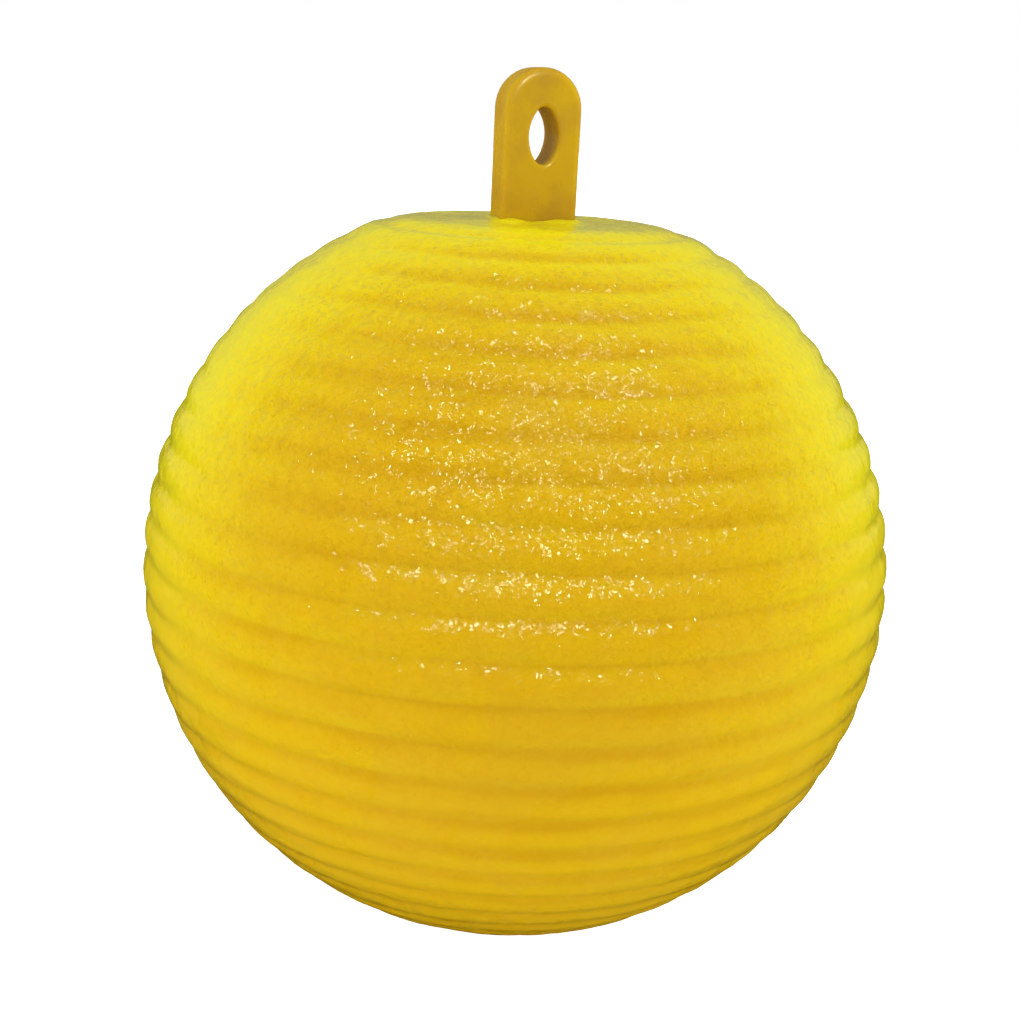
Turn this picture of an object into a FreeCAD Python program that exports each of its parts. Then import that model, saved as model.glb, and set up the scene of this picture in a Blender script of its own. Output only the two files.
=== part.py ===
"""Sticky ball insect trap: two moulded half shells pegged together under one film of glue.

The ball's axis is Z and its resting flat lies on Z = 0.  The halves part on the plane Y = 0,
which also runs through the middle of the hanging tab, and the tab's front looks along -Y.
The two halves are the same moulding: the rear one is turned half a turn about the axis, so
that its pegs meet the sockets of the front one, and its tongue meets the front one's groove.

Every body is drawn about the ball's centre and raised by its Placement to stand on the flat.
"""
import FreeCAD, Part
import os
from math import asin, atan2, cos, degrees, radians, sin, sqrt

import Sketcher

# name, value (millimetres, degrees or a count), meaning
DRIVING_DIMENSIONS = [
    ("ball_radius", 40.0, "centre to the crests of the glue film"),
    ("film_on_crest", 0.3, "glue over a rib's crest"),
    ("film_groove_depth", 0.4, "depth of the rings that show on the glue"),
    ("film_on_flat", 0.25, "glue over the upper flat, round the tab"),
    ("film_end_gap", 0.3, "the glue stops this far above the lower flat"),
    ("rib_pitch", 5.8, "degrees of latitude from rib to rib"),
    ("rib_depth", 0.55, "height of a moulded rib"),
    ("ribs_above", 11, "ribs above the one on the equator, and below it"),
    ("wall", 1.6, "wall under the ribs"),
    ("flat_height", 37.0, "ball's centre to each flat"),
    ("tab_width", 8.2, "hanging tab"),
    ("tab_thickness", 4.8, "both halves of the tab together"),
    ("tab_rise", 15.5, "tab's top above the upper flat"),
    ("tab_edge_round", 0.9, "rounding of the tab's front edges"),
    ("split_chamfer", 0.15, "each half's side of the groove that shows where the tab is split"),
    ("eye_width", 3.2, "upright oval hanging eye"),
    ("eye_length", 5.7, "eye, end to end"),
    ("eye_end_round", 0.95, "radius of the eye's upper and lower ends"),
    ("eye_depth", 6.7, "from the tab's top down to the eye's centre"),
    ("eye_edge_round", 0.4, "rounding of the eye's mouth"),
    ("boss_circle", 35.6, "ball's centre to a boss's axis"),
    ("boss_latitude", 38.0, "degrees above and below the equator"),
    ("boss_radius", 2.2, "boss that carries a peg or a socket"),
    ("boss_length", 9.4, "boss behind the parting face"),
    ("peg_radius", 1.2, "locating peg"),
    ("peg_length", 4.0, "peg in front of the parting face"),
    ("peg_chamfer", 0.35, "lead-in on the peg's tip"),
    ("socket_length", 4.6, "depth of a socket"),
    ("fit_gap", 0.05, "clearance round a peg and a tongue"),
    ("tongue_radius", 38.35, "middle of the tongue on the rim"),
    ("tongue_width", 0.6, "tongue across the rim"),
    ("tongue_height", 0.8, "tongue in front of the parting face"),
    ("tongue_end_latitude", 58.0, "degrees above and below the equator"),
]

# name, formula over the cells above, meaning
DERIVED_DIMENSIONS = [
    ("crest_radius", "=ball_radius - film_on_crest", "crests of the moulded ribs"),
    ("root_radius", "=crest_radius - rib_depth", "bottoms of the moulded grooves and the smooth caps"),
    ("film_root_radius", "=ball_radius - film_groove_depth", "bottoms of the rings on the glue"),
    ("inner_radius", "=root_radius - wall", "smooth inside of the shell"),
    ("inner_flat_height", "=flat_height - wall", "inside of each flat"),
    ("film_high_height", "=flat_height + film_on_flat", "top of the glue film"),
    ("film_low_height", "=flat_height - film_end_gap", "ball's centre down to the film's lower edge"),
    ("half_pitch", "=rib_pitch / 2", "crest to groove"),
    (
        "rib_round",
        "=(root_radius ^ 2 + crest_radius ^ 2 - 2 * root_radius * crest_radius * cos(half_pitch))"
        " / (2 * (crest_radius - root_radius * cos(half_pitch)))",
        "radius of a rib's section",
    ),
    (
        "film_round",
        "=(film_root_radius ^ 2 + ball_radius ^ 2 - 2 * film_root_radius * ball_radius * cos(half_pitch))"
        " / (2 * (ball_radius - film_root_radius * cos(half_pitch)))",
        "radius of the glue's section over a rib",
    ),
    ("tab_top", "=flat_height + tab_rise", "ball's centre to the tab's top"),
    ("tab_round_height", "=tab_top - tab_width / 2", "centre of the tab's round top"),
    ("eye_reach", "=eye_length / 2 - eye_end_round", "from the eye's centre to its end arcs' centres"),
    ("eye_high", "=tab_top - eye_depth + eye_reach", "centre of the eye's upper end"),
    ("eye_low", "=tab_top - eye_depth - eye_reach", "centre of the eye's lower end"),
    (
        "eye_side_round",
        "=(eye_reach ^ 2 + (eye_width / 2) ^ 2 - eye_end_round ^ 2) / (eye_width - 2 * eye_end_round)",
        "radius of the eye's long sides",
    ),
    ("groove_width", "=tongue_width + 2 * fit_gap", "groove across the rim"),
    ("groove_depth", "=tongue_height + 2 * fit_gap", "groove behind the parting face"),
]

ORIGIN = (-1, 1)
VERTICAL_AXIS = -2
START, END, CENTRE = 1, 2, 3
TOLERANCE = 1e-4
SHELL_OUTSIDE = ("crest_radius", "root_radius", "rib_round")
FILM_OUTSIDE = ("ball_radius", "film_root_radius", "film_round")

doc = FreeCAD.newDocument("sticky_ball_trap")


def make_sheet():
    """The driving dimensions, then the ones worked out from them."""
    sheet = doc.addObject("Spreadsheet::Sheet", "Dimensions")
    rows = [(name, str(value), meaning) for name, value, meaning in DRIVING_DIMENSIONS]
    for row, (name, content, meaning) in enumerate(rows + DERIVED_DIMENSIONS, start=1):
        sheet.set(f"A{row}", name)
        sheet.set(f"B{row}", content)
        sheet.set(f"C{row}", meaning)
        sheet.setAlias(f"B{row}", name)
    doc.recompute()
    return sheet


sheet = make_sheet()


def size(name):
    """The value of a cell, for a sketch's first shape before its constraints hold it."""
    return float(getattr(sheet, name))


class Outline:
    """A sketch on its body's parting plane, whose dimensions are bound to the sheet."""

    def __init__(self, body, name):
        plane = next(item for item in body.Origin.OriginFeatures if item.Role == "XZ_Plane")
        self.sketch = body.newObject("Sketcher::SketchObject", name)
        self.sketch.AttachmentSupport = [(plane, "")]
        self.sketch.MapMode = "FlatFace"

    def bind(self, kind, references, value, formula):
        """Adds one dimension and ties it to a formula over the sheet's cells."""
        index = self.sketch.addConstraint(Sketcher.Constraint(kind, *references, value))
        self.sketch.setExpression(f"Constraints[{index}]", formula)

    def relate(self, kind, *references):
        self.sketch.addConstraint(Sketcher.Constraint(kind, *references))

    def line(self, start, end):
        points = (FreeCAD.Vector(*start, 0), FreeCAD.Vector(*end, 0))
        return self.sketch.addGeometry(Part.LineSegment(*points), False)

    def arc(self, centre, radius, start_degrees, end_degrees):
        """An arc that runs anticlockwise from its start to its end."""
        circle = Part.Circle(FreeCAD.Vector(*centre, 0), FreeCAD.Vector(0, 0, 1), radius)
        span = (radians(start_degrees), radians(end_degrees))
        return self.sketch.addGeometry(Part.ArcOfCircle(circle, *span), False)

    def circle(self, centre, formulas, radius_name, clearance=None):
        """A circle whose centre and radius are tied to the sheet."""
        radius = size(radius_name) + (size(clearance) if clearance else 0)
        radius_formula = f"Dimensions.{radius_name}"
        if clearance:
            radius_formula += f" + Dimensions.{clearance}"
        shape = Part.Circle(FreeCAD.Vector(*centre, 0), FreeCAD.Vector(0, 0, 1), radius)
        circle = self.sketch.addGeometry(shape, False)
        self.bind("Radius", (circle,), radius, radius_formula)
        self.bind("DistanceX", (*ORIGIN, circle, CENTRE), centre[0], formulas[0])
        self.bind("DistanceY", (*ORIGIN, circle, CENTRE), centre[1], formulas[1])

    def join(self, first, first_end, second, second_end):
        self.relate("Coincident", first, first_end, second, second_end)

    def ball_arc(self, radius_name, start_degrees, end_degrees):
        """An arc of a circle about the ball's centre."""
        arc = self.arc((0, 0), size(radius_name), start_degrees, end_degrees)
        self.relate("Coincident", arc, CENTRE, *ORIGIN)
        self.bind("Radius", (arc,), size(radius_name), f"Dimensions.{radius_name}")
        return arc

    def flat(self, height_name, side, radius_name):
        """A level line at one flat, from its edge on a ball arc towards the axis."""
        height = side * size(height_name)
        edge = sqrt(size(radius_name) ** 2 - height ** 2)
        line = self.line((edge, height), (0, height))
        self.relate("Horizontal", line)
        self.relate("PointOnObject", line, END, VERTICAL_AXIS)
        self.bind("DistanceY", (*ORIGIN, line, END), height, f"{side} * Dimensions.{height_name}")
        return line

    def ribbed_edge(self, crest_name, root_name, round_name, low_name, high_name):
        """An outside from one level to a higher one: smooth cap, ribs, smooth cap.

        Returns the first and the last arc, whose free ends lie on the two levels.
        """
        pitch = size("rib_pitch")
        above = int(size("ribs_above"))
        crest, root, round_ = size(crest_name), size(root_name), size(round_name)
        cap_start = (above + 0.5) * pitch
        low_end, high_end = (degrees(asin(size(name) / root)) for name in (low_name, high_name))
        centre_radius = crest - round_
        half_turn = degrees(asin(root * sin(radians(pitch / 2)) / round_))

        lower_cap = self.ball_arc(root_name, -low_end, -cap_start)
        previous = lower_cap
        for index in range(-above, above + 1):
            latitude = index * pitch
            centre = (
                centre_radius * cos(radians(latitude)),
                centre_radius * sin(radians(latitude)),
            )
            rib = self.arc(centre, round_, latitude - half_turn, latitude + half_turn)
            reach = f"(Dimensions.{crest_name} - Dimensions.{round_name})"
            turn = f"({index} * Dimensions.rib_pitch)"
            self.bind("Radius", (rib,), round_, f"Dimensions.{round_name}")
            self.bind("DistanceX", (*ORIGIN, rib, CENTRE), centre[0], f"{reach} * cos{turn}")
            self.bind("DistanceY", (*ORIGIN, rib, CENTRE), centre[1], f"{reach} * sin{turn}")
            self.join(previous, END, rib, START)
            previous = rib
        upper_cap = self.ball_arc(root_name, cap_start, high_end)
        self.join(previous, END, upper_cap, START)
        return lower_cap, upper_cap


def feature(body, kind, name, outline, **settings):
    """A PartDesign feature made from one sketch; a setting given by name is tied to the sheet."""
    made = body.newObject(f"PartDesign::{kind}", name)
    made.Profile = outline.sketch
    for key, value in settings.items():
        if isinstance(value, str):
            made.setExpression(key, f"Dimensions.{value}")
        else:
            setattr(made, key, value)
    outline.sketch.Visibility = False
    doc.recompute()
    return made


def shell_wall(body):
    """Half of the ball's wall: ribbed outside, smooth inside, a flat at each pole."""
    outline = Outline(body, "WallSection")
    lower_cap, upper_cap = outline.ribbed_edge(*SHELL_OUTSIDE, "flat_height", "flat_height")
    inside_reach = degrees(asin(size("inner_flat_height") / size("inner_radius")))
    inside = outline.ball_arc("inner_radius", -inside_reach, inside_reach)
    for side, cap, cap_end, inside_end in ((-1, lower_cap, START, START), (1, upper_cap, END, END)):
        outer_flat = outline.flat("flat_height", side, "root_radius")
        inner_flat = outline.flat("inner_flat_height", side, "inner_radius")
        outline.join(cap, cap_end, outer_flat, START)
        outline.join(inside, inside_end, inner_flat, START)
        heights = (side * size("flat_height"), side * size("inner_flat_height"))
        on_axis = outline.line((0, heights[0]), (0, heights[1]))
        outline.join(outer_flat, END, on_axis, START)
        outline.join(inner_flat, END, on_axis, END)
    wall = feature(body, "Revolution", "Wall", outline, Angle=180.0, Reversed=True)
    wall.ReferenceAxis = (outline.sketch, ["V_Axis"])
    doc.recompute()


def tab_half(body):
    """Half of the hanging tab's thickness, with its round top, rooted in the upper flat."""
    outline = Outline(body, "TabSection")
    half = size("tab_width") / 2
    foot, shoulder = size("inner_flat_height"), size("tab_round_height")
    left = outline.line((-half, shoulder), (-half, foot))
    base = outline.line((-half, foot), (half, foot))
    right = outline.line((half, foot), (half, shoulder))
    top = outline.arc((0, shoulder), half, 0, 180)
    outline.join(left, END, base, START)
    outline.join(base, END, right, START)
    outline.relate("Tangent", right, END, top, START)
    outline.relate("Tangent", top, END, left, START)
    outline.relate("Vertical", right)
    outline.relate("Horizontal", base)
    outline.relate("PointOnObject", top, CENTRE, VERTICAL_AXIS)
    outline.bind("Radius", (top,), half, "Dimensions.tab_width / 2")
    outline.bind("DistanceY", (*ORIGIN, top, CENTRE), shoulder, "Dimensions.tab_round_height")
    outline.bind("DistanceY", (*ORIGIN, base, START), foot, "Dimensions.inner_flat_height")
    tab = feature(body, "Pad", "Tab", outline)
    tab.setExpression("Length", "Dimensions.tab_thickness / 2")
    doc.recompute()


def hanging_eye(body):
    """The upright oval eye, right through the tab: two small end arcs and two long side arcs."""
    outline = Outline(body, "EyeSection")
    reach, middle = size("eye_reach"), (size("eye_high") + size("eye_low")) / 2
    end_round, side_round = size("eye_end_round"), size("eye_side_round")
    side_offset = side_round - size("eye_width") / 2
    turn = degrees(atan2(reach, side_offset))
    right = outline.arc((-side_offset, middle), side_round, -turn, turn)
    top = outline.arc((0, middle + reach), end_round, turn, 180 - turn)
    left = outline.arc((side_offset, middle), side_round, 180 - turn, 180 + turn)
    bottom = outline.arc((0, middle - reach), end_round, 180 + turn, 360 - turn)
    chain = (right, top, left, bottom)
    for current, following in zip(chain, chain[1:] + chain[:1]):
        outline.relate("Tangent", current, END, following, START)
    for arc, name in ((top, "eye_high"), (bottom, "eye_low")):
        outline.relate("PointOnObject", arc, CENTRE, VERTICAL_AXIS)
        outline.bind("Radius", (arc,), end_round, "Dimensions.eye_end_round")
        outline.bind("DistanceY", (*ORIGIN, arc, CENTRE), size(name), f"Dimensions.{name}")
    for arc in (right, left):
        outline.bind("Radius", (arc,), side_round, "Dimensions.eye_side_round")
    feature(body, "Pocket", "Eye", outline, Length="tab_thickness", Reversed=True)


def fixing_points(sides):
    """Centres of the fixings on the given sides of the axis, with their formulas."""
    reach = size("boss_circle")
    latitude = radians(size("boss_latitude"))
    for side in sides:
        for level in (-1, 1):
            centre = (side * reach * cos(latitude), level * reach * sin(latitude))
            formulas = (
                f"{side} * Dimensions.boss_circle * cos(Dimensions.boss_latitude)",
                f"{level} * Dimensions.boss_circle * sin(Dimensions.boss_latitude)",
            )
            yield centre, formulas


def fixings(body):
    """Four bosses inside the rim: pegs on the two at +X, sockets in the two at -X."""
    bosses = Outline(body, "BossSection")
    for centre, formulas in fixing_points((-1, 1)):
        bosses.circle(centre, formulas, "boss_radius")
    feature(body, "Pad", "Bosses", bosses, Length="boss_length")

    sockets = Outline(body, "SocketSection")
    for centre, formulas in fixing_points((-1,)):
        sockets.circle(centre, formulas, "peg_radius", clearance="fit_gap")
    feature(body, "Pocket", "Sockets", sockets, Length="socket_length", Reversed=True)

    pegs = Outline(body, "PegSection")
    for centre, formulas in fixing_points((1,)):
        pegs.circle(centre, formulas, "peg_radius")
    feature(body, "Pad", "Pegs", pegs, Length="peg_length", Reversed=True)


def rim_strip(body, name, side, width_name):
    """A strip along the middle of the rim, on one side of the axis."""
    outline = Outline(body, name)
    middle, half_width = size("tongue_radius"), size(width_name) / 2
    reach = size("tongue_end_latitude")
    turn = 0 if side > 0 else 180
    ends = (turn - reach, turn + reach)
    arcs = []
    for sign in (-1, 1):
        radius = middle + sign * half_width
        arc = outline.arc((0, 0), radius, *ends)
        outline.relate("Coincident", arc, CENTRE, *ORIGIN)
        formula = f"Dimensions.tongue_radius + {sign} * Dimensions.{width_name} / 2"
        outline.bind("Radius", (arc,), radius, formula)
        arcs.append((arc, radius))
    (inner, inner_radius), (outer, outer_radius) = arcs
    for arc_end, degrees in zip((START, END), ends):
        direction = (cos(radians(degrees)), sin(radians(degrees)))
        near = (inner_radius * direction[0], inner_radius * direction[1])
        far = (outer_radius * direction[0], outer_radius * direction[1])
        across = outline.line(near, far)
        outline.join(across, START, inner, arc_end)
        outline.join(across, END, outer, arc_end)
        height_sign = 1 if direction[1] > 0 else -1
        for arc, radius in arcs:
            formula = (
                f"{height_sign} * (Dimensions.tongue_radius + {1 if arc == outer else -1}"
                f" * Dimensions.{width_name} / 2) * sin(Dimensions.tongue_end_latitude)"
            )
            outline.bind("DistanceY", (*ORIGIN, arc, arc_end), radius * direction[1], formula)
    return outline


def rim_joint(body):
    """A tongue on the rim at +X and the groove for the other half's tongue at -X."""
    tongue = rim_strip(body, "TongueSection", 1, "tongue_width")
    feature(body, "Pad", "Tongue", tongue, Length="tongue_height", Reversed=True)
    groove = rim_strip(body, "GrooveSection", -1, "groove_width")
    feature(body, "Pocket", "RimGroove", groove, Length="groove_depth", Reversed=True)


def edges_at(shape, depth, lowest):
    """Names of the edges that lie wholly at one depth along Y and reach above a height.

    Returns two lists: those that run round the outside, and those round the tab's eye.
    """
    outside, eye = [], []
    for number, edge in enumerate(shape.Edges, start=1):
        box = edge.BoundBox
        level = abs(box.YMin - depth) < TOLERANCE and abs(box.YMax - depth) < TOLERANCE
        if level and box.ZMax > lowest + TOLERANCE:
            reach = max(abs(box.XMin), abs(box.XMax))
            in_eye = reach < size("eye_width") / 2 + TOLERANCE
            (eye if in_eye else outside).append(f"Edge{number}")
    return outside, eye


def dress_edges(body, kind, name, edges, **settings):
    """A fillet or a chamfer on named edges of the body as it stands."""
    base = body.Tip
    made = body.newObject(f"PartDesign::{kind}", name)
    made.Base = (base, edges)
    for key, value in settings.items():
        made.setExpression(key, f"Dimensions.{value}")
    doc.recompute()


def soften(body):
    """Rounds the tab's front and the eye's mouth, and chamfers the tab's split and the pegs."""
    front = -size("tab_thickness") / 2
    outside, _ = edges_at(body.Tip.Shape, front, size("flat_height"))
    dress_edges(body, "Fillet", "TabRounds", outside, Radius="tab_edge_round")
    _, eye = edges_at(body.Tip.Shape, front, size("flat_height"))
    dress_edges(body, "Fillet", "EyeRounds", eye, Radius="eye_edge_round")
    outside, _ = edges_at(body.Tip.Shape, 0, size("flat_height"))
    dress_edges(body, "Chamfer", "TabSplit", outside, Size="split_chamfer")
    tips, _ = edges_at(body.Tip.Shape, size("peg_length"), -size("ball_radius"))
    dress_edges(body, "Chamfer", "PegLeads", tips, Size="peg_chamfer")


def stand_up(body, turn_degrees):
    """Turns a body about the ball's axis and raises it to stand on its lower flat."""
    rotation = FreeCAD.Rotation(FreeCAD.Vector(0, 0, 1), turn_degrees)
    body.Placement = FreeCAD.Placement(FreeCAD.Vector(0, 0, size("flat_height")), rotation)
    body.setExpression("Placement.Base.z", "Dimensions.flat_height")


def half_shell(label, turn_degrees):
    """One moulded half of the ball, with its half of the hanging tab."""
    body = doc.addObject("PartDesign::Body", label)
    body.Label = label
    shell_wall(body)
    tab_half(body)
    hanging_eye(body)
    fixings(body)
    rim_joint(body)
    soften(body)
    stand_up(body, turn_degrees)
    return body


def film_skin(body):
    """The film: over the upper flat, the caps and the ribs, and ending above the lower flat."""
    outline = Outline(body, "FilmSection")
    outside = outline.ribbed_edge(*FILM_OUTSIDE, "film_low_height", "film_high_height")
    inside = outline.ribbed_edge(*SHELL_OUTSIDE, "film_low_height", "flat_height")
    low = -size("film_low_height")
    edges = [sqrt(size(name) ** 2 - low ** 2) for name in ("film_root_radius", "root_radius")]
    rim = outline.line((edges[0], low), (edges[1], low))
    outline.join(outside[0], START, rim, START)
    outline.join(inside[0], START, rim, END)
    outline.relate("Horizontal", rim)
    outline.bind("DistanceY", (*ORIGIN, rim, START), low, "-Dimensions.film_low_height")
    top = outline.flat("film_high_height", 1, "film_root_radius")
    underside = outline.flat("flat_height", 1, "root_radius")
    outline.join(outside[1], END, top, START)
    outline.join(inside[1], END, underside, START)
    on_axis = outline.line((0, size("film_high_height")), (0, size("flat_height")))
    outline.join(top, END, on_axis, START)
    outline.join(underside, END, on_axis, END)
    film = feature(body, "Revolution", "Film", outline, Angle=360.0)
    film.ReferenceAxis = (outline.sketch, ["V_Axis"])
    doc.recompute()


def tab_hole(body):
    """The hole in the film that the hanging tab stands in."""
    outline = Outline(body, "TabHoleSection")
    half = size("tab_width") / 2 + size("fit_gap")
    low, high = size("inner_flat_height"), size("tab_top")
    corners = [(-half, low), (half, low), (half, high), (-half, high)]
    sides = [outline.line(*ends) for ends in zip(corners, corners[1:] + corners[:1])]
    for side, following in zip(sides, sides[1:] + sides[:1]):
        outline.join(side, END, following, START)
    base, right, top, left = sides
    for level in (base, top):
        outline.relate("Horizontal", level)
    for upright in (right, left):
        outline.relate("Vertical", upright)
    half_width = "(Dimensions.tab_width / 2 + Dimensions.fit_gap)"
    outline.bind("DistanceX", (*ORIGIN, base, START), -half, f"-{half_width}")
    outline.bind("DistanceX", (*ORIGIN, base, END), half, half_width)
    outline.bind("DistanceY", (*ORIGIN, base, START), low, "Dimensions.inner_flat_height")
    outline.bind("DistanceY", (*ORIGIN, top, END), high, "Dimensions.tab_top")
    hole = feature(body, "Pocket", "TabHole", outline, Midplane=True)
    hole.setExpression("Length", "Dimensions.tab_thickness + 2 * Dimensions.fit_gap")
    doc.recompute()


def glue_film(label):
    """The film of glue round the ball, with a hole for the hanging tab."""
    body = doc.addObject("PartDesign::Body", label)
    body.Label = label
    film_skin(body)
    tab_hole(body)
    stand_up(body, 0)
    return body


def check_document(parts):
    """Stops if any object failed to recompute, or a part's shape is empty or not valid."""
    for item in doc.Objects:
        if "Invalid" in item.State or "Error" in item.State:
            raise RuntimeError(f"{item.Name} did not recompute: {item.State}")
    for part in parts:
        if part.Shape.isNull() or not part.Shape.isValid() or len(part.Shape.Solids) != 1:
            raise RuntimeError(f"{part.Label} is not one valid solid")


def main():
    parts = [
        half_shell("front_half_shell", 0),
        half_shell("rear_half_shell", 180),
        glue_film("adhesive_coating"),
    ]
    doc.recompute()
    check_document(parts)
    os.makedirs("parts", exist_ok=True)
    for part in parts:
        part.Shape.exportStep(f"parts/{part.Label}.step")
        box = part.Shape.BoundBox
        print(
            f"{part.Label}: {part.Shape.Volume:.0f} mm3,"
            f" X {box.XMin:.2f} {box.XMax:.2f}, Y {box.YMin:.2f} {box.YMax:.2f},"
            f" Z {box.ZMin:.2f} {box.ZMax:.2f}"
        )


main()
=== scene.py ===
"""Looks of a sticky ball insect trap.

The half shells are the frame's own pieces and get a moulded plastic finish.  The glue film is
built here as a closed skin: rings that wander, lumps, streaks and a drawn-up edge round the tab.
"""

import logging
import math
from dataclasses import dataclass, field
from enum import Enum
from typing import ClassVar

import bpy
import numpy as np
from mathutils import Matrix, Vector

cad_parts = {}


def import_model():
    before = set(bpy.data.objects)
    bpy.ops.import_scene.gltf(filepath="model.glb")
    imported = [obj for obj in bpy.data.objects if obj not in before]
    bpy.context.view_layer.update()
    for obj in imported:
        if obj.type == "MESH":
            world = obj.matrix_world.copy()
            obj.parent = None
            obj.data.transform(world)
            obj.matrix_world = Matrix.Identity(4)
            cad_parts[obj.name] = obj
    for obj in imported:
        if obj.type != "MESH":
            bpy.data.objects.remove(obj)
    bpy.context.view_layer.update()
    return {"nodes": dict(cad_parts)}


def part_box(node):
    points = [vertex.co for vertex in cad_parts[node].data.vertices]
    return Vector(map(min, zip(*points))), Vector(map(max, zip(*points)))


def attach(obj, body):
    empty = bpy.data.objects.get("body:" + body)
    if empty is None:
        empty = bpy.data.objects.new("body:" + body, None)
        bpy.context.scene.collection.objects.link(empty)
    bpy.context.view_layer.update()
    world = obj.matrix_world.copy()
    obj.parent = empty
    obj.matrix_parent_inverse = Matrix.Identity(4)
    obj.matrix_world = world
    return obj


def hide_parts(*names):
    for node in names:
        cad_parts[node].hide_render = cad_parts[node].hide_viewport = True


log = logging.getLogger("sticky_ball_trap")

MM = 0.001
BODY = "root"

Tone = tuple[float, float, float, float]
Value = float | bpy.types.NodeSocket
Colour = Tone | bpy.types.NodeSocket


class Part(str, Enum):
    """The CAD nodes."""

    FRONT = "front_half_shell"
    REAR = "rear_half_shell"
    FILM = "adhesive_coating"


class Slot(str, Enum):
    """The record's material slots."""

    PLASTIC = "shell_plastic"
    GLUE = "adhesive"


# ---------------------------------------------------------------------------------------------
# Shader graphs
# ---------------------------------------------------------------------------------------------


class Graph:
    """A shader graph being drawn."""

    def __init__(self, tree: bpy.types.NodeTree) -> None:
        """Starts on a tree.

        Args:
            tree: the material's, world's or group's node tree.
        """
        self.tree = tree

    def add(self, kind: str, values: dict | None = None, **settings: object) -> bpy.types.Node:
        """Adds a node.

        Args:
            kind: the node's type name.
            values: input socket names with a constant, or with an output socket to join.
            settings: attributes of the node itself.

        Returns:
            The new node.
        """
        node = self.tree.nodes.new(kind)
        for name, value in settings.items():
            setattr(node, name, value)
        for name, value in (values or {}).items():
            socket = node.inputs[name]
            if isinstance(value, bpy.types.NodeSocket):
                self.tree.links.new(value, socket)
            else:
                socket.default_value = value
        return node

    def math(self, operation: str, first: Value, second: Value = 0.0) -> bpy.types.NodeSocket:
        """Adds a Math node.

        Args:
            operation: the Math node's operation.
            first: a number or an output socket.
            second: a number or an output socket.

        Returns:
            The node's output.
        """
        return self.add("ShaderNodeMath", {0: first, 1: second}, operation=operation).outputs[0]

    def mix_colour(self, factor: Value, first: Colour, second: Colour) -> bpy.types.NodeSocket:
        """Mixes two colours.

        Args:
            factor: share of the second colour, a number or an output socket.
            first: a colour or an output socket.
            second: a colour or an output socket.

        Returns:
            The mixed colour.
        """
        node = self.add("ShaderNodeMix", data_type="RGBA")
        sockets = (node.inputs[0], node.inputs[6], node.inputs[7])
        for socket, value in zip(sockets, (factor, first, second)):
            if isinstance(value, bpy.types.NodeSocket):
                self.tree.links.new(value, socket)
            else:
                socket.default_value = value
        return node.outputs[2]

    def spread(
        self, value: bpy.types.NodeSocket, low: float, high: float, out: tuple[float, float]
    ) -> bpy.types.NodeSocket:
        """Maps a range of values smoothly to another.

        Args:
            value: the output socket to map.
            low: value that maps to the first of out.
            high: value that maps to the second of out.
            out: the two ends of the result.

        Returns:
            The mapped value.
        """
        values = {
            "Value": value,
            "From Min": low,
            "From Max": high,
            "To Min": out[0],
            "To Max": out[1],
        }
        return self.add("ShaderNodeMapRange", values, interpolation_type="SMOOTHSTEP").outputs[0]


def new_group(
    name: str, inputs: dict[str, tuple[str, float]], outputs: list[str]
) -> tuple[Graph, bpy.types.Node, bpy.types.Node]:
    """Makes an empty node group with named sockets.

    Args:
        name: the group's name.
        inputs: socket name to its type and default value.
        outputs: names of the value outputs.

    Returns:
        The group's graph, its input node and its output node.
    """
    tree = bpy.data.node_groups.new(name, "ShaderNodeTree")
    for socket, (kind, default) in inputs.items():
        made = tree.interface.new_socket(name=socket, in_out="INPUT", socket_type=kind)
        if kind == "NodeSocketFloat":
            made.default_value = default
    for socket in outputs:
        tree.interface.new_socket(name=socket, in_out="OUTPUT", socket_type="NodeSocketFloat")
    graph = Graph(tree)
    return graph, graph.add("NodeGroupInput"), graph.add("NodeGroupOutput")


def mottle_group() -> bpy.types.NodeTree:
    """Makes the group for slow drifts of tone: a mask of soft patches of a given size.

    Returns:
        The node group, with the output Mask from 0 to 1.
    """
    sockets = {"Vector": ("NodeSocketVector", 0.0), "Size": ("NodeSocketFloat", 0.01)}
    graph, source, sink = new_group("Mottle", sockets, ["Mask"])
    scale = graph.math("DIVIDE", 1.0, source.outputs["Size"])
    values = {"Vector": source.outputs["Vector"], "Scale": scale, "Detail": 3.0, "Roughness": 0.55}
    noise = graph.add("ShaderNodeTexNoise", values)
    mask = graph.spread(noise.outputs["Fac"], 0.34, 0.66, (0.0, 1.0))
    graph.tree.links.new(mask, sink.inputs["Mask"])
    return graph.tree


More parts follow.
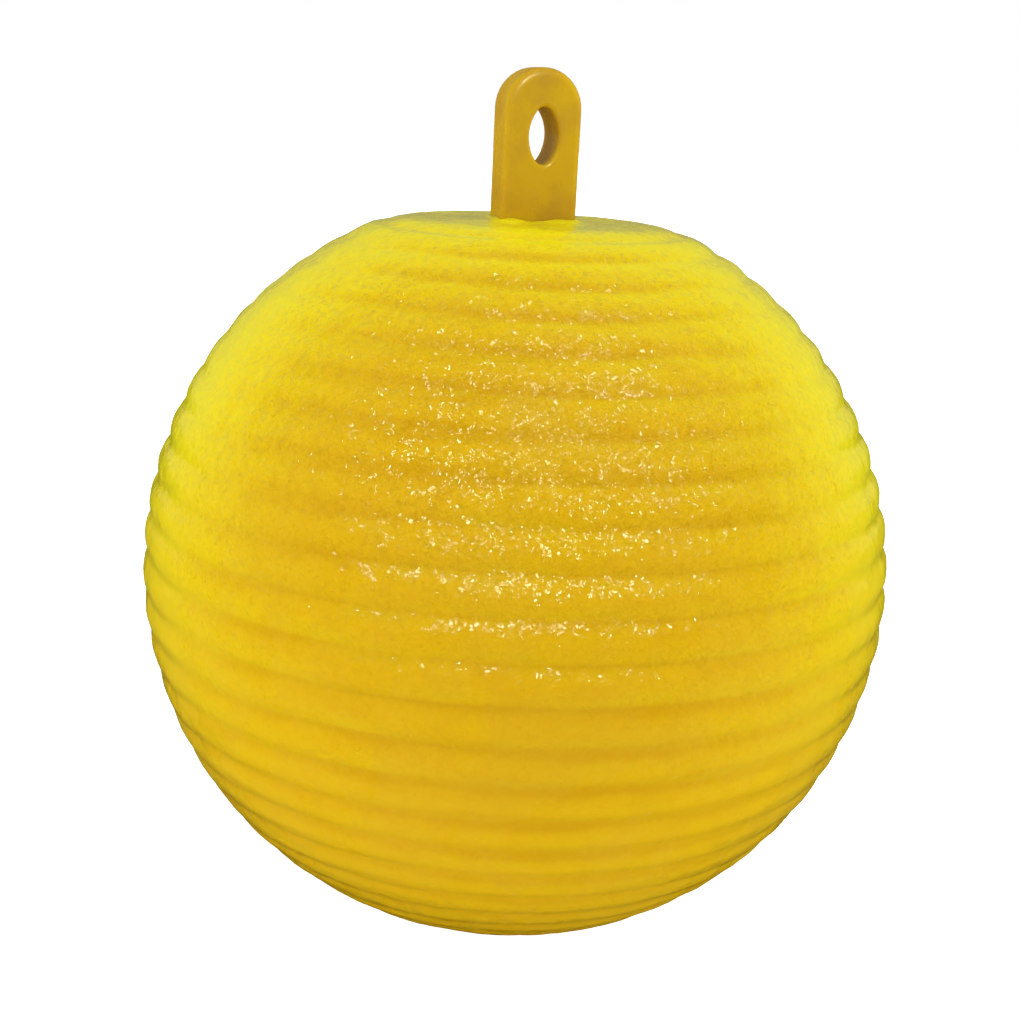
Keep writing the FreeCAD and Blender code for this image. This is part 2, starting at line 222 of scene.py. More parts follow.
def grain_group() -> bpy.types.NodeTree:
    """Makes the group for fine grain: rounded grains with a finer tooth and tilted facets.

    Returns:
        The node group, with the output Height from 0 to about 1.
    """
    sockets = {
        "Vector": ("NodeSocketVector", 0.0),
        "Grain Size": ("NodeSocketFloat", 0.0005),
        "Round": ("NodeSocketFloat", 1.0),
        "Tooth": ("NodeSocketFloat", 0.3),
        "Facet": ("NodeSocketFloat", 0.0),
    }
    graph, source, sink = new_group("Grain", sockets, ["Height"])
    scale = graph.math("DIVIDE", 1.0, source.outputs["Grain Size"])
    fine_scale = graph.math("MULTIPLY", scale, 2.7)
    vector = source.outputs["Vector"]
    grains = graph.add("ShaderNodeTexNoise", {"Vector": vector, "Scale": scale, "Detail": 1.0})
    tooth = graph.add("ShaderNodeTexNoise", {"Vector": vector, "Scale": fine_scale, "Detail": 1.0})
    rounded = graph.spread(grains.outputs["Fac"], 0.3, 0.7, (0.0, 1.0))
    rounded = graph.math("MULTIPLY", rounded, source.outputs["Round"])
    fine = graph.math("MULTIPLY", tooth.outputs["Fac"], source.outputs["Tooth"])
    cells = graph.add("ShaderNodeTexVoronoi", {"Vector": vector, "Scale": scale})
    reach = {0: vector, 1: cells.outputs["Position"]}
    offset = graph.add("ShaderNodeVectorMath", reach, operation="SUBTRACT").outputs["Vector"]
    middle = {0: cells.outputs["Color"], 1: (0.5, 0.5, 0.5)}
    tilt = graph.add("ShaderNodeVectorMath", middle, operation="SUBTRACT").outputs["Vector"]
    rise = graph.add("ShaderNodeVectorMath", {0: offset, 1: tilt}, operation="DOT_PRODUCT")
    facet = graph.math("MULTIPLY", rise.outputs["Value"], scale)
    facet = graph.math("MULTIPLY", facet, source.outputs["Facet"])
    total = graph.math("ADD", graph.math("ADD", rounded, fine), facet)
    graph.tree.links.new(total, sink.inputs["Height"])
    return graph.tree


@dataclass(frozen=True)
class Effects:
    """The node groups that both finishes use."""

    mottle: bpy.types.NodeTree
    grain: bpy.types.NodeTree

    def lay(
        self, graph: Graph, patch_size: float, grain: dict[str, float]
    ) -> tuple[bpy.types.NodeSocket, bpy.types.NodeSocket]:
        """Adds both groups to a material, laid out in the piece's own coordinates.

        Args:
            graph: the material's graph.
            patch_size: size of the soft patches, in metres.
            grain: constants for the grain group, by socket name.

        Returns:
            The patches' mask and the grain's height.
        """
        place = graph.add("ShaderNodeTexCoord").outputs["Object"]
        patches = {"Vector": place, "Size": patch_size}
        mottle = graph.add("ShaderNodeGroup", patches, node_tree=self.mottle)
        grains = graph.add("ShaderNodeGroup", {"Vector": place, **grain}, node_tree=self.grain)
        return mottle.outputs["Mask"], grains.outputs["Height"]


def new_material(name: str) -> tuple[bpy.types.Material, Graph, bpy.types.Node]:
    """Makes a material with nothing but its surface shader.

    Args:
        name: the material's name.

    Returns:
        The material, its graph and its Principled shader.
    """
    material = bpy.data.materials.new(name)
    material.use_nodes = True
    return material, Graph(material.node_tree), material.node_tree.nodes["Principled BSDF"]


def set_constants(shader: bpy.types.Node, values: dict[str, object]) -> None:
    """Puts constants straight on a shader's sockets.

    Args:
        shader: the shader.
        values: socket names with their constants.
    """
    for name, value in values.items():
        shader.inputs[name].default_value = value


@dataclass(frozen=True)
class MouldedPlastic:
    """Semi-gloss golden yellow plastic, as it leaves the mould."""

    effects: Effects
    name: str = "moulded golden plastic"
    light_tone: Tone = (0.61, 0.385, 0.002, 1.0)
    deep_tone: Tone = (0.51, 0.290, 0.002, 1.0)
    patch_size: float = 6.0 * MM
    tooth_size: float = 0.25 * MM
    tooth_depth: float = 0.03 * MM
    tooth_strength: float = 0.25
    smooth_roughness: float = 0.26
    dull_roughness: float = 0.42
    specular: float = 0.35
    glow_share: float = 0.25
    glow_depth: float = 1.2 * MM

    def make(self) -> bpy.types.Material:
        """Draws the material.

        Returns:
            The material.
        """
        material, graph, shader = new_material(self.name)
        mask, height = self.effects.lay(graph, self.patch_size, {"Grain Size": self.tooth_size})
        colour = graph.mix_colour(mask, self.light_tone, self.deep_tone)
        roughness = graph.spread(mask, 0.0, 1.0, (self.smooth_roughness, self.dull_roughness))
        values = {"Height": height, "Strength": self.tooth_strength, "Distance": self.tooth_depth}
        bump = graph.add("ShaderNodeBump", values)
        graph.tree.links.new(colour, shader.inputs["Base Color"])
        graph.tree.links.new(roughness, shader.inputs["Roughness"])
        graph.tree.links.new(bump.outputs["Normal"], shader.inputs["Normal"])
        set_constants(shader, {
            "IOR": 1.49,
            "Specular IOR Level": self.specular,
            "Subsurface Weight": self.glow_share,
            "Subsurface Radius": (1.0, 0.55, 0.08),
            "Subsurface Scale": self.glow_depth,
        })
        return material


@dataclass(frozen=True)
class StickyGlue:
    """Wet yellow glue: glossy, grainy, deeper in tone where it lies thick; its edges get a painted
    sheen.
    """

    effects: Effects
    name: str = "sticky yellow glue"
    thin_tone: Tone = (0.78, 0.455, 0.003, 1.0)
    thick_tone: Tone = (0.66, 0.365, 0.002, 1.0)
    patch_tone: Tone = (0.72, 0.410, 0.002, 1.0)
    # Lighter lemon tone of the painted sheen, laid where the surface turns away from the view.
    painted_sheen_tone: Tone = (0.90, 0.765, 0.004, 1.0)
    patch_size: float = 9.0 * MM
    patch_share: float = 0.45
    deep_range: tuple[float, float] = (0.24, 0.50)
    # Facing values over which the painted sheen fades in.
    painted_sheen_range: tuple[float, float] = (0.06, 0.88)
    grain_fade: tuple[float, float] = (0.25, 0.75)
    grain_at_rim: float = 0.12
    grain_size: float = 0.42 * MM
    grain_round: float = 0.42
    grain_tooth: float = 0.2
    grain_facet: float = 2.2
    grain_depth: float = 0.15 * MM
    wet_roughness: float = 0.22
    dull_roughness: float = 0.40
    specular: float = 0.1
    coat: float = 0.6
    coat_roughness: float = 0.05
    glow_share: float = 0.3
    glow_depth: float = 1.0 * MM

    def make(self) -> bpy.types.Material:
        """Draws the material.

        Returns:
            The material.
        """
        material, graph, shader = new_material(self.name)
        grain = {
            "Grain Size": self.grain_size,
            "Round": self.grain_round,
            "Tooth": self.grain_tooth,
            "Facet": self.grain_facet,
        }
        mask, height = self.effects.lay(graph, self.patch_size, grain)
        thickness = graph.add("ShaderNodeAttribute", attribute_name=GlueFilm.THICKNESS)
        share = graph.add("ShaderNodeAttribute", attribute_name=GlueFilm.GRAIN_AND_SHEEN).outputs["Fac"]
        slant = graph.add("ShaderNodeLayerWeight", {"Blend": 0.5}).outputs["Facing"]

        deep = graph.spread(thickness.outputs["Fac"], *self.deep_range, (0.0, 1.0))
        colour = graph.mix_colour(deep, self.thin_tone, self.thick_tone)
        patch = graph.math("MULTIPLY", mask, self.patch_share)
        colour = graph.mix_colour(patch, colour, self.patch_tone)
        # Painted sheen: a lighter lemon tone mixed in where the surface turns away from the view,
        # fading towards the bottom, in place of reflected light at grazing angles and light from
        # above.
        rim = graph.math("MULTIPLY", graph.spread(slant, *self.painted_sheen_range, (0.0, 1.0)), share)
        colour = graph.mix_colour(rim, colour, self.painted_sheen_tone)

        roughness = graph.spread(mask, 0.0, 1.0, (self.wet_roughness, self.dull_roughness))
        height = graph.math("MULTIPLY", height, share)
        strength = graph.spread(slant, *self.grain_fade, (1.0, self.grain_at_rim))
        values = {"Height": height, "Strength": strength, "Distance": self.grain_depth}
        normal = graph.add("ShaderNodeBump", values).outputs["Normal"]

        graph.tree.links.new(colour, shader.inputs["Base Color"])
        graph.tree.links.new(roughness, shader.inputs["Roughness"])
        graph.tree.links.new(normal, shader.inputs["Normal"])
        graph.tree.links.new(normal, shader.inputs["Coat Normal"])
        set_constants(shader, {
            "IOR": 1.5,
            "Specular IOR Level": self.specular,
            "Subsurface Weight": self.glow_share,
            "Subsurface Radius": (1.0, 0.6, 0.08),
            "Subsurface Scale": self.glow_depth,
            "Coat Weight": self.coat,
            "Coat Roughness": self.coat_roughness,
            "Coat IOR": 1.5,
        })
        return material


# ---------------------------------------------------------------------------------------------
# The pieces
# ---------------------------------------------------------------------------------------------


@dataclass(frozen=True)
class Ripple:
    """Smooth gradient noise in space, the same on every run."""

    cell: float
    seed: int
    flatten: float = 1.0

    TABLE_SIZE: ClassVar[int] = 256

    def __call__(self, points: np.ndarray) -> np.ndarray:
        """Reads the noise.

        Args:
            points: places, one row each, in the units of cell.

        Returns:
            One value a place, mostly between -1 and 1.
        """
        random = np.random.default_rng(self.seed)
        order = random.permutation(self.TABLE_SIZE)
        slopes = random.normal(size=(self.TABLE_SIZE, 3))
        slopes /= np.linalg.norm(slopes, axis=1)[:, None]
        stretch = np.array([1.0, 1.0, self.flatten]) / self.cell
        scaled = points * stretch
        low = np.floor(scaled).astype(int)
        part = scaled - low
        fade = part ** 3 * (part * (part * 6 - 15) + 10)
        total = np.zeros(len(points))
        for corner in np.ndindex(2, 2, 2):
            index = (low + corner) % self.TABLE_SIZE
            key = order[index[:, 0]]
            key = order[(key + index[:, 1]) % self.TABLE_SIZE]
            key = order[(key + index[:, 2]) % self.TABLE_SIZE]
            slope = np.einsum("ij,ij->i", slopes[key], part - corner)
            share = np.prod(np.where(corner, fade, 1 - fade), axis=1)
            total += slope * share
        return total * 1.6


def smooth_least(first: np.ndarray, second: np.ndarray, blend: float) -> np.ndarray:
    """The lesser of two surfaces, with a rounded edge where they cross.

    Args:
        first: one surface's heights.
        second: the other's.
        blend: how far apart they start to round into each other.

    Returns:
        The lesser heights.
    """
    share = np.clip(0.5 + 0.5 * (second - first) / blend, 0, 1)
    return second * (1 - share) + first * share - blend * share * (1 - share)


@dataclass
class BallForm:
    """The ball's own sizes in millimetres and degrees, the outer ones read off the CAD nodes."""

    nodes: dict[str, bpy.types.Object]
    pitch: float = 5.8
    ribs_above: int = 11
    film_groove: float = 0.42
    film_on_crest: float = 0.3
    film_on_flat: float = 0.25
    cap_groove: float = 0.4
    rib_depth: float = 0.55
    ball_radius: float = field(init=False)
    centre_height: float = field(init=False)
    flat_top: float = field(init=False)
    tab_half_width: float = field(init=False)
    tab_half_depth: float = field(init=False)

    def __post_init__(self) -> None:
        """Reads the ball, the flat and the tab off the CAD nodes."""
        low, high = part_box(Part.FILM.value)
        self.ball_radius = (high.x - low.x) / 2 / MM
        points = np.array([v.co for v in self.nodes[Part.FRONT.value].data.vertices]) / MM
        above = points[points[:, 2] > high.z / MM + 1.0]
        self.tab_half_width = float(np.abs(above[:, 0]).max())
        self.tab_half_depth = float(-above[:, 1].min())
        self.flat_top = high.z / MM
        self.centre_height = (self.flat_top - self.film_on_flat) / 2
        log.info("ball radius %.2f mm, film top %.2f mm", self.ball_radius, self.flat_top)

    @property
    def root_radius(self) -> float:
        """Radius of the moulding between its ribs.

        Returns:
            Millimetres.
        """
        return self.ball_radius - self.film_on_crest - self.rib_depth

    @property
    def cap_radius(self) -> float:
        """Radius of the film over the smooth caps.

        Returns:
            Millimetres.
        """
        return self.ball_radius - self.cap_groove

    @property
    def ribbed_to(self) -> float:
        """Latitude where the last rib ends.

        Returns:
            Degrees.
        """
        return (self.ribs_above + 0.5) * self.pitch

    def shell_radius(self, latitude: np.ndarray) -> np.ndarray:
        """The moulding's radius under the film.

        Args:
            latitude: degrees.

        Returns:
            Millimetres from the ball's centre.
        """
        offset = (latitude / self.pitch - np.round(latitude / self.pitch)) * 2
        rib = self.rib_depth * (1 - offset ** 2)
        return self.root_radius + np.where(np.abs(latitude) < self.ribbed_to, rib, 0)


@dataclass
class GlueFilm:
    """The film of glue: its rings, its unevenness and its edges, in millimetres and degrees."""

    form: BallForm
    columns: int = 840
    ring_rows: int = 390
    cap_rows: int = 64
    inner_step: int = 4
    inner_rows: int = 168
    crest_share: float = 0.78
    wander: float = 0.5
    lumps: float = 0.05
    streaks: float = 0.045
    beads: float = 0.03
    grains: float = 0.018
    edge_round: float = 0.62
    least_cover: float = 0.03
    under_gap: float = 0.02
    lower_end: float = -69.4
    lower_taper: float = 1.6
    lower_wave: float = 0.25
    flooded_way: tuple[float, float, float] = (-0.64, -0.30, 0.707)
    flooded_loss: float = 0.5
    slumped_loss: float = 0.52
    usual_rings: float = 0.90
    ring_drift: float = 0.45
    tab_climb: float = 0.5
    tab_climb_reach: float = 0.42
    flat_waves: float = 0.05
    flat_dimples: float = 0.03

    drift_noise: Ripple = Ripple(22.0, 11)
    wander_noise: Ripple = Ripple(13.0, 21, 1.8)
    fine_wander_noise: Ripple = Ripple(5.0, 22, 1.5)
    lump_noise: Ripple = Ripple(3.2, 31)
    streak_noise: Ripple = Ripple(9.0, 32, 9.0)
    bead_noise: Ripple = Ripple(1.3, 33)
    grain_noise: Ripple = Ripple(0.62, 34)
    lower_noise: Ripple = Ripple(6.0, 41)
    wave_noise: Ripple = Ripple(4.0, 51)
    climb_noise: Ripple = Ripple(2.6, 52)
    dimple_noise: Ripple = Ripple(1.6, 53)

    LEAST_RISE: ClassVar[float] = 0.3
    THICKNESS: ClassVar[str] = "glue_thickness"
    # Point attribute that weights both the grain's bump and the painted sheen.
    GRAIN_AND_SHEEN: ClassVar[str] = "glue_grain_and_sheen"

    def ring_depth(self, way: np.ndarray) -> np.ndarray:
        """How deep the rings show: shallow where the glue was laid thick.

        Args:
            way: unit directions from the ball's centre.

        Returns:
            Millimetres.
        """
        flooded = np.clip((way @ np.array(self.flooded_way) - 0.72) / 0.26, 0, 1)
        slow = self.drift_noise(way * self.form.ball_radius)
        slumped = np.clip((0.05 - way[:, 2]) / 0.5, 0, 1)
        slumped = slumped + np.clip((way[:, 2] - 0.35) / 0.4, 0, 1)
        share = self.usual_rings + self.ring_drift * slow
        share = share - self.flooded_loss * flooded - self.slumped_loss * slumped
        return self.form.film_groove * np.clip(share, 0.3, 1.25)

    def outer_radius(self, way: np.ndarray, latitude: np.ndarray) -> np.ndarray:
        """The glue's surface, from the ball's centre.

        Args:
            way: unit directions from the ball's centre.
            latitude: their latitudes.

        Returns:
            Millimetres.
        """
        form = self.form
        spot = way * form.ball_radius
        drift = self.wander * (self.wander_noise(spot) + 0.5 * self.fine_wander_noise(spot))
        phase = (latitude + drift) / form.pitch
        offset = np.abs(phase - np.round(phase)) * 2
        crest = offset ** 2 / self.crest_share
        groove = 1 - (1 - offset) ** 2 / (1 - self.crest_share)
        dip = np.where(offset < self.crest_share, crest, groove)
        rings = form.ball_radius - self.ring_depth(way) * dip
        fade = np.clip((form.ribbed_to - 0.5 - np.abs(latitude)) / 2.0 + 0.5, 0, 1)
        fade = fade * fade * (3 - 2 * fade)
        radius = form.cap_radius + (rings - form.cap_radius) * fade
        radius += self.lumps * self.lump_noise(spot)
        radius += self.streaks * self.streak_noise(spot)
        radius += self.beads * self.bead_noise(spot)
        radius += self.grains * self.grain_noise(spot)
        return np.maximum(radius, form.shell_radius(latitude) + self.least_cover)

    def tab_reach(self, longitude: np.ndarray, gap: float) -> np.ndarray:
        """Distance from the axis to the tab's foot.

        Args:
            longitude: radians from +X towards +Y.
            gap: clearance round the tab.

        Returns:
            Millimetres.
        """
        power = 10
        wide = np.abs(np.cos(longitude)) / (self.form.tab_half_width + gap)
        deep = np.abs(np.sin(longitude)) / (self.form.tab_half_depth + gap)
        return (wide ** power + deep ** power) ** (-1 / power)

    def outer_points(self) -> np.ndarray:
        """The glue's outer surface as rows of points, from the lower edge up to the tab.

        Returns:
            Points by row and column, in millimetres from the ball's centre.
        """
        form = self.form
        longitude = np.linspace(0, 2 * np.pi, self.columns, endpoint=False)
        ring = np.stack([np.cos(longitude), np.sin(longitude), np.zeros_like(longitude)], 1)
        uneven = self.lower_noise(ring * form.root_radius)
        start = self.lower_end + self.lower_wave * uneven
        share = np.linspace(0, 1, self.ring_rows)[:, None]
        rows = start + (form.ribbed_to - start) * share
        height = form.flat_top - form.centre_height
        hole = self.tab_reach(longitude, 0.05)
        end = np.degrees(np.arctan2(height, hole))
        share = np.linspace(0, 1, self.cap_rows + 1)[1:, None]
        caps = form.ribbed_to + (end - form.ribbed_to) * share
        latitude = np.concatenate([rows, caps])
        flat_way = np.repeat(ring[None], len(latitude), axis=0)
        angle = np.radians(latitude)[..., None]
        way = flat_way * np.cos(angle) + np.array([0, 0, 1.0]) * np.sin(angle)
        way = way.reshape(-1, 3)
        degrees = latitude.reshape(-1)
        radius = self.outer_radius(way, degrees)
        radius = self.over_flat(way, degrees, radius, np.tile(hole, len(latitude)))
        radius = self.lower_bead(degrees, radius, np.tile(start, len(latitude)))
        return (way * radius[:, None]).reshape(len(latitude), self.columns, 3)

    def over_flat(
        self, way: np.ndarray, latitude: np.ndarray, radius: np.ndarray, hole: np.ndarray
    ) -> np.ndarray:
        """Levels the film over the upper flat and draws it up round the tab.

        Args:
            way: unit directions from the ball's centre.
            latitude: their latitudes.
            radius: the film's radius without the flat.
            hole: distance from the axis to the tab's foot, in each direction.

        Returns:
            The film's radius.
        """
        form = self.form
        spot = way * form.ball_radius
        level = form.flat_top - form.centre_height
        rise = np.maximum(np.sin(np.radians(latitude)), self.LEAST_RISE)
        from_tab = level / rise * np.cos(np.radians(latitude)) - hole
        climb = np.clip(0.5 + 0.6 * self.climb_noise(spot), 0.1, 1.0)
        fall = np.exp(-np.maximum(from_tab, 0) / self.tab_climb_reach)
        level = level + self.tab_climb * climb * fall
        level = level + self.flat_waves * self.wave_noise(spot)
        level = level + self.flat_dimples * self.dimple_noise(spot)
        level = level + self.grains * self.grain_noise(spot)
        shell_level = form.flat_top - form.film_on_flat - form.centre_height
        shell = np.minimum(form.shell_radius(latitude), shell_level / rise)
        film = smooth_least(radius, level / rise, self.edge_round)
        return np.maximum(film, shell + self.least_cover)

    def lower_bead(self, latitude: np.ndarray, radius: np.ndarray, start: np.ndarray) -> np.ndarray:
        """Rounds the film down to the moulding at its lower edge.

        Args:
            latitude: degrees.
            radius: the film's radius.
            start: latitude of the lower edge in each direction.

        Returns:
            The film's radius.
        """
        along = np.clip((latitude - start) / self.lower_taper, 0, 1)
        cover = np.sqrt(1 - (1 - along) ** 2)
        shell = self.form.shell_radius(latitude) + self.under_gap
        return shell + (radius - shell) * np.where(latitude < 0, np.maximum(cover, 0.02), 1)

    def inner_points(self, outer: np.ndarray) -> np.ndarray:
        """The glue's inner surface, a hair above the moulding.

        Args:
            outer: the outer surface, whose two edges it meets.

        Returns:
            Points by row and column, in millimetres from the ball's centre.
        """
        form = self.form
        edges = outer[:, :: self.inner_step]
        low, high = (
            np.degrees(np.arctan2(edge[:, 2], np.hypot(edge[:, 0], edge[:, 1])))
            for edge in (edges[0], edges[-1])
        )
        longitude = np.arctan2(edges[0][:, 1], edges[0][:, 0])
        share = np.linspace(0, 1, self.inner_rows)[:, None]
        latitude = low + (high - low) * share
        angle = np.radians(latitude)
        radius = form.shell_radius(latitude) + self.under_gap
        level = form.flat_top - form.film_on_flat - form.centre_height + self.under_gap
        radius = np.minimum(radius, level / np.maximum(np.sin(angle), self.LEAST_RISE))
        across = radius * np.cos(angle)
        places = [across * np.cos(longitude), across * np.sin(longitude), radius * np.sin(angle)]
        return np.stack(places, -1)

    def faces(self, outer: np.ndarray, inner: np.ndarray) -> list[np.ndarray]:
        """Joins the two surfaces into one closed skin.

        Args:
            outer: the outer surface's points.
            inner: the inner surface's points, which follow the outer ones.

        Returns:
            Faces as arrays of point numbers.
        """
        columns, coarse = outer.shape[1], inner.shape[1]
        first_inner = outer.shape[0] * columns
        top_outer = (outer.shape[0] - 1) * columns
        top_inner = first_inner + (inner.shape[0] - 1) * coarse
        return [
            ring_faces(outer.shape[0], columns, 0),
            ring_faces(inner.shape[0], coarse, first_inner)[:, ::-1],
            edge_faces(columns, coarse, top_outer, top_inner),
            edge_faces(columns, coarse, 0, first_inner)[:, ::-1],
        ]

    def thickness(self, points: np.ndarray, latitude: np.ndarray) -> np.ndarray:
        """How thick the glue lies under each point.

        Args:
            points: places in millimetres from the ball's centre, one row each.
            latitude: their latitudes.

        Returns:
            Millimetres.
        """
        form = self.form
        rise = np.maximum(np.sin(np.radians(latitude)), self.LEAST_RISE)
        level = (form.flat_top - form.film_on_flat - form.centre_height) / rise
        shell = np.minimum(form.shell_radius(latitude), level)
        return np.linalg.norm(points, axis=1) - shell

    def build(self) -> bpy.types.Object:
        """Makes the film's closed mesh, with the glue's thickness and the share of grain and
        painted sheen on its points.

        Returns:
            The film, standing where the CAD film stands.
        """
        outer = self.outer_points()
        inner = self.inner_points(outer)
        points = np.concatenate([outer.reshape(-1, 3), inner.reshape(-1, 3)])
        latitude = np.degrees(np.arcsin(points[:, 2] / np.linalg.norm(points, axis=1)))
        marks = {
            self.THICKNESS: self.thickness(points, latitude),
            # One share for both the grain's bump and the painted sheen, lower towards the bottom.
            self.GRAIN_AND_SHEEN: np.clip(0.55 + 1.0 * np.sin(np.radians(latitude)), 0.2, 1.0),
        }
        points[:, 2] += self.form.centre_height
        mesh = mesh_of("glue_film", points * MM, self.faces(outer, inner))
        for name, values in marks.items():
            mesh.attributes.new(name, "FLOAT", "POINT").data.foreach_set("value", values)
        film = bpy.data.objects.new("glue_film", mesh)
        bpy.context.scene.collection.objects.link(film)
        return film

    def dress(self, film: bpy.types.Object, glue: bpy.types.Material) -> None:
        """Gives the film its finish and its place in the model.

        Args:
            film: the film.
            glue: its material.
        """
        film.data.materials.append(glue)
        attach(film, BODY)
        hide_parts(Part.FILM.value)


def ring_faces(rows: int, width: int, start: int) -> np.ndarray:
    """Faces of one grid of points that closes round the axis.

    Args:
        rows: rows of points.
        width: points in a row.
        start: number of the grid's first point.

    Returns:
        Four point numbers a face, facing outward.
    """
    row = np.arange(rows - 1)[:, None] * width + start
    near = np.arange(width)[None]
    far = (near + 1) % width
    corners = [row + near, row + far, row + width + far, row + width + near]
    return np.stack(corners, -1).reshape(-1, 4)


def edge_faces(fine: int, coarse: int, outer_start: int, inner_start: int) -> np.ndarray:
    """Faces that join a row of the outer grid to the coarser row inside it.

    Args:
        fine: points in the outer row, a whole multiple of coarse.
        coarse: points in the inner row.
        outer_start: number of the outer row's first point.
        inner_start: number of the inner row's first point.

    Returns:
        Point numbers a face, facing up.
    """
    step = fine // coarse
    near = np.arange(coarse)
    far = (near + 1) % coarse
    outside = [outer_start + (near * step + k) % fine for k in range(step + 1)]
    return np.stack(outside + [inner_start + far, inner_start + near], -1)


def mesh_of(name: str, points: np.ndarray, grids: list[np.ndarray]) -> bpy.types.Mesh:
    """Makes a smooth-shaded mesh.

    Args:
        name: the mesh's name.
        points: places in metres, one row each.
        grids: faces, as arrays of point numbers, with one array for each number of corners.

    Returns:
        The mesh.
    """
    mesh = bpy.data.meshes.new(name)
    corners = np.concatenate([grid.reshape(-1) for grid in grids])
    counts = np.concatenate([np.full(len(grid), grid.shape[1]) for grid in grids])
    starts = np.concatenate([[0], np.cumsum(counts)[:-1]])
    mesh.vertices.add(len(points))
    mesh.vertices.foreach_set("co", points.reshape(-1).astype(np.float32))
    mesh.loops.add(len(corners))
    mesh.loops.foreach_set("vertex_index", corners.astype(np.int32))
    mesh.polygons.add(len(counts))
    mesh.polygons.foreach_set("loop_start", starts.astype(np.int32))
    mesh.update(calc_edges=True)
    mesh.polygons.foreach_set("use_smooth", np.ones(len(counts), bool))
    mesh.validate()
    return mesh


@dataclass
class HalfShells:
    """The two moulded halves, in their CAD shape."""

    nodes: dict[str, bpy.types.Object]
    parts: tuple[Part, ...] = (Part.FRONT, Part.REAR)

    def dress(self, plastic: bpy.types.Material) -> list[bpy.types.Object]:
        """Gives both halves their finish.

        Args:
            plastic: their material.

        Returns:
            The two halves.
        """
        shells = [self.nodes[part.value] for part in self.parts]
        for shell in shells:
            for slot in shell.material_slots:
                slot.material = plastic
        return shells


# ---------------------------------------------------------------------------------------------
# The studio
# ---------------------------------------------------------------------------------------------


@dataclass(frozen=True)
class Softbox:
    """A rectangular lamp that faces the ball.  Angles are seen from the ball, in degrees."""

    name: str
    azimuth: float
    elevation: float
    distance: float
    width: float
    height: float
    power: float
    in_gloss: bool = False
    in_diffuse: bool = True
    colour: tuple[float, float, float] = (1.0, 1.0, 1.0)


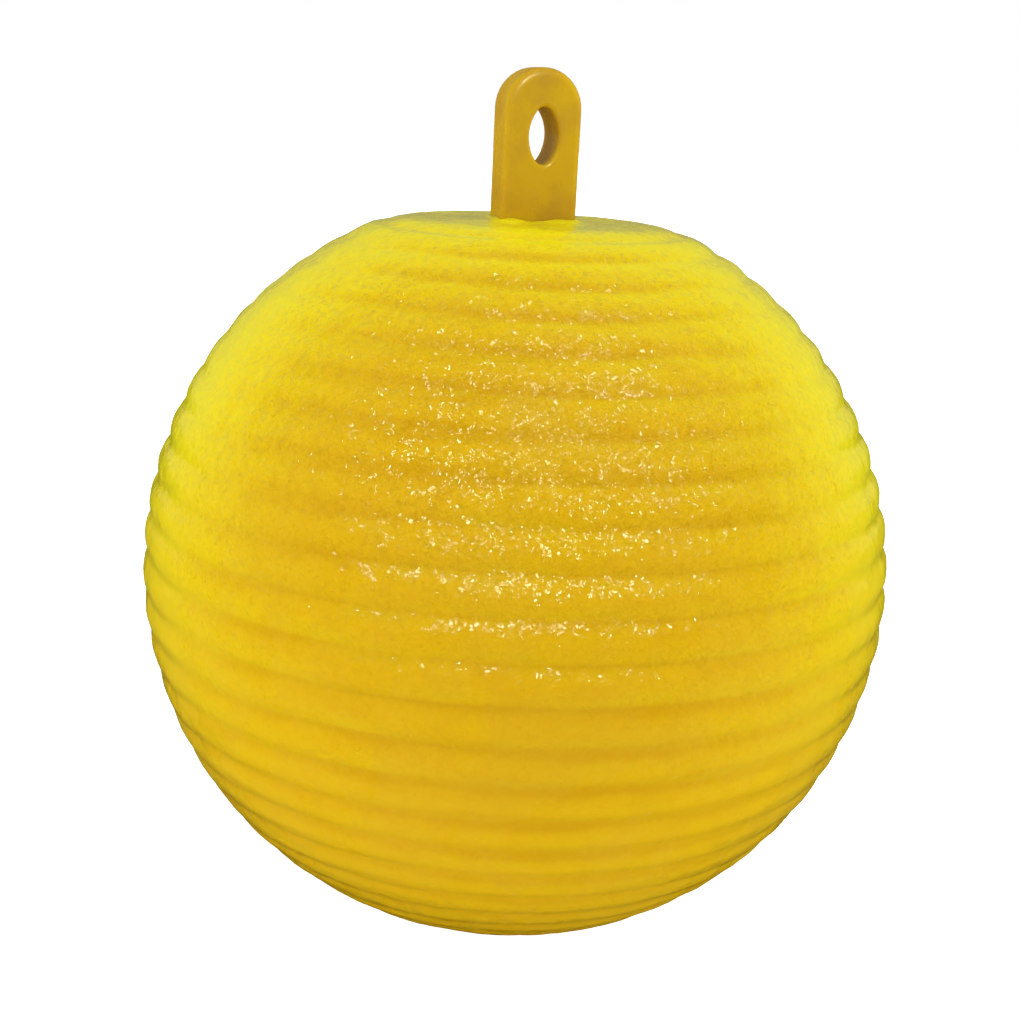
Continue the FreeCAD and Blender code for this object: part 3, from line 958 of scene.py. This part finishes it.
@dataclass
class Studio:
    """A pale floor, soft lamps and the camera, round the ball's centre."""

    centre: Vector
    azimuth: float = -20.0
    elevation: float = 15.8
    roll: float = 2.9
    distance: float = 180.0 * MM
    lens: float = 57.6
    shift: tuple[float, float] = (-0.0049, 0.0529)
    floor_radius: float = 3.0
    floor_glow: float = 1.0
    floor_lift: float = 0.1
    floor_tone: Tone = (0.95, 0.95, 0.95, 1.0)
    floor_tone_in_gloss: Tone = (0.02, 0.02, 0.02, 1.0)
    ambient: float = 0.66
    back_white: float = 0.18
    front_dark: float = 0.005
    lamps: tuple[Softbox, ...] = (
        Softbox(
            "sparkle", -12.0, 44.0, 0.55, 0.15, 0.15, 3.0,
            in_gloss=True, in_diffuse=False, colour=(1.0, 0.95, 0.60),
        ),
        Softbox("key", -25.0, 35.0, 0.8, 0.6, 0.6, 0.6),
        Softbox("left_fill", -95.0, 25.0, 0.8, 0.5, 0.6, 2.2),
        Softbox("right_fill", 70.0, 25.0, 0.8, 0.5, 0.6, 2.5),
        Softbox("top", 0.0, 80.0, 0.8, 0.6, 0.6, 1.2),
    )

    def way(self, azimuth: float, elevation: float) -> Vector:
        """Turns two angles into a direction.

        Args:
            azimuth: degrees round the ball, from its front.
            elevation: degrees above the level.

        Returns:
            The unit direction from the ball's centre.
        """
        a, e = math.radians(azimuth), math.radians(elevation)
        return Vector((math.sin(a) * math.cos(e), -math.cos(a) * math.cos(e), math.sin(e)))

    def make_floor(self) -> None:
        """Lays the floor, a wide pale disc."""
        floor = bpy.data.objects.new("floor", bpy.data.meshes.new("floor"))
        turns = [2 * math.pi * k / 96 for k in range(96)]
        reach = self.floor_radius
        rim = [(reach * math.cos(turn), reach * math.sin(turn), 0.0) for turn in turns]
        floor.data.from_pydata(rim, [], [list(range(len(turns)))])
        material, graph, shader = new_material("pale floor")
        path = graph.add("ShaderNodeLightPath").outputs
        colour = graph.mix_colour(path["Is Glossy Ray"], self.floor_tone, self.floor_tone_in_gloss)
        lift = graph.math("MULTIPLY", path["Is Diffuse Ray"], self.floor_lift)
        glow = graph.math("MULTIPLY", path["Is Camera Ray"], self.floor_glow)
        graph.tree.links.new(colour, shader.inputs["Base Color"])
        graph.tree.links.new(graph.math("ADD", glow, lift), shader.inputs["Emission Strength"])
        set_constants(shader, {
            "Emission Color": (1.0, 1.0, 1.0, 1.0),
            "Roughness": 0.9,
            "Specular IOR Level": 0.0,
        })
        floor.data.materials.append(material)
        bpy.context.scene.collection.objects.link(floor)

    def make_world(self) -> None:
        """Surrounds the ball with white that gloss picks up at the sides and back only."""
        world = bpy.data.worlds.new("white surround")
        bpy.context.scene.world = world
        world.use_nodes = True
        graph = Graph(world.node_tree)
        path = graph.add("ShaderNodeLightPath")
        direction = graph.add("ShaderNodeTexCoord").outputs["Generated"]
        front = tuple(self.way(self.azimuth, self.elevation))
        pair = {0: direction, 1: front}
        toward = graph.add("ShaderNodeVectorMath", pair, operation="DOT_PRODUCT")
        gloss = graph.spread(toward.outputs["Value"], -0.5, 0.5, (self.back_white, self.front_dark))
        soft = graph.math("SUBTRACT", 1.0, path.outputs["Is Glossy Ray"])
        ambient = graph.math("MULTIPLY", soft, self.ambient)
        strength = graph.math("MULTIPLY", gloss, path.outputs["Is Glossy Ray"])
        strength = graph.math("ADD", strength, ambient)
        strength = graph.math("MAXIMUM", strength, path.outputs["Is Camera Ray"])
        background = world.node_tree.nodes["Background"]
        background.inputs["Color"].default_value = (1.0, 1.0, 1.0, 1.0)
        graph.tree.links.new(strength, background.inputs["Strength"])

    def make_lamps(self) -> None:
        """Hangs the lamps, each facing the ball."""
        for box in self.lamps:
            data = bpy.data.lights.new(box.name, "AREA")
            data.shape = "RECTANGLE"
            data.size, data.size_y = box.width, box.height
            data.energy = box.power
            data.color = box.colour
            lamp = bpy.data.objects.new(box.name, data)
            way = self.way(box.azimuth, box.elevation)
            lamp.location = self.centre + way * box.distance
            lamp.rotation_euler = way.to_track_quat("Z", "Y").to_euler()
            lamp.visible_glossy = box.in_gloss
            lamp.visible_diffuse = box.in_diffuse
            bpy.context.scene.collection.objects.link(lamp)

    def make_camera(self) -> None:
        """Sets the camera in front of the ball, a little to its left and above."""
        data = bpy.data.cameras.new("camera")
        data.lens = self.lens
        data.sensor_width = 36.0
        data.shift_x, data.shift_y = self.shift
        data.clip_start = 0.01
        camera = bpy.data.objects.new("camera", data)
        way = self.way(self.azimuth, self.elevation)
        facing = way.to_track_quat("Z", "Y").to_matrix().to_4x4()
        lean = Matrix.Rotation(math.radians(self.roll), 4, "Z")
        place = Matrix.Translation(self.centre + way * self.distance)
        camera.matrix_world = place @ facing @ lean
        bpy.context.scene.collection.objects.link(camera)
        bpy.context.scene.camera = camera

    def build(self) -> None:
        """Sets up the whole studio."""
        self.make_floor()
        self.make_world()
        self.make_lamps()
        self.make_camera()
        bpy.context.scene.view_settings.view_transform = "Standard"


def main() -> None:
    """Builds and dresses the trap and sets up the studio."""
    logging.basicConfig(level=logging.INFO, format="%(message)s")
    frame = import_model()
    form = BallForm(frame["nodes"])
    effects = Effects(mottle=mottle_group(), grain=grain_group())

    for shell in HalfShells(frame["nodes"]).dress(MouldedPlastic(effects).make()):
        log.info("dressed %s", shell.name)

    glue = GlueFilm(form)
    film = glue.build()
    glue.dress(film, StickyGlue(effects).make())
    log.info("built %s with %d faces", film.name, len(film.data.polygons))

    Studio(Vector((0, 0, form.centre_height * MM))).build()
    log.info("set up the studio")


if __name__ == "__main__":
    main()
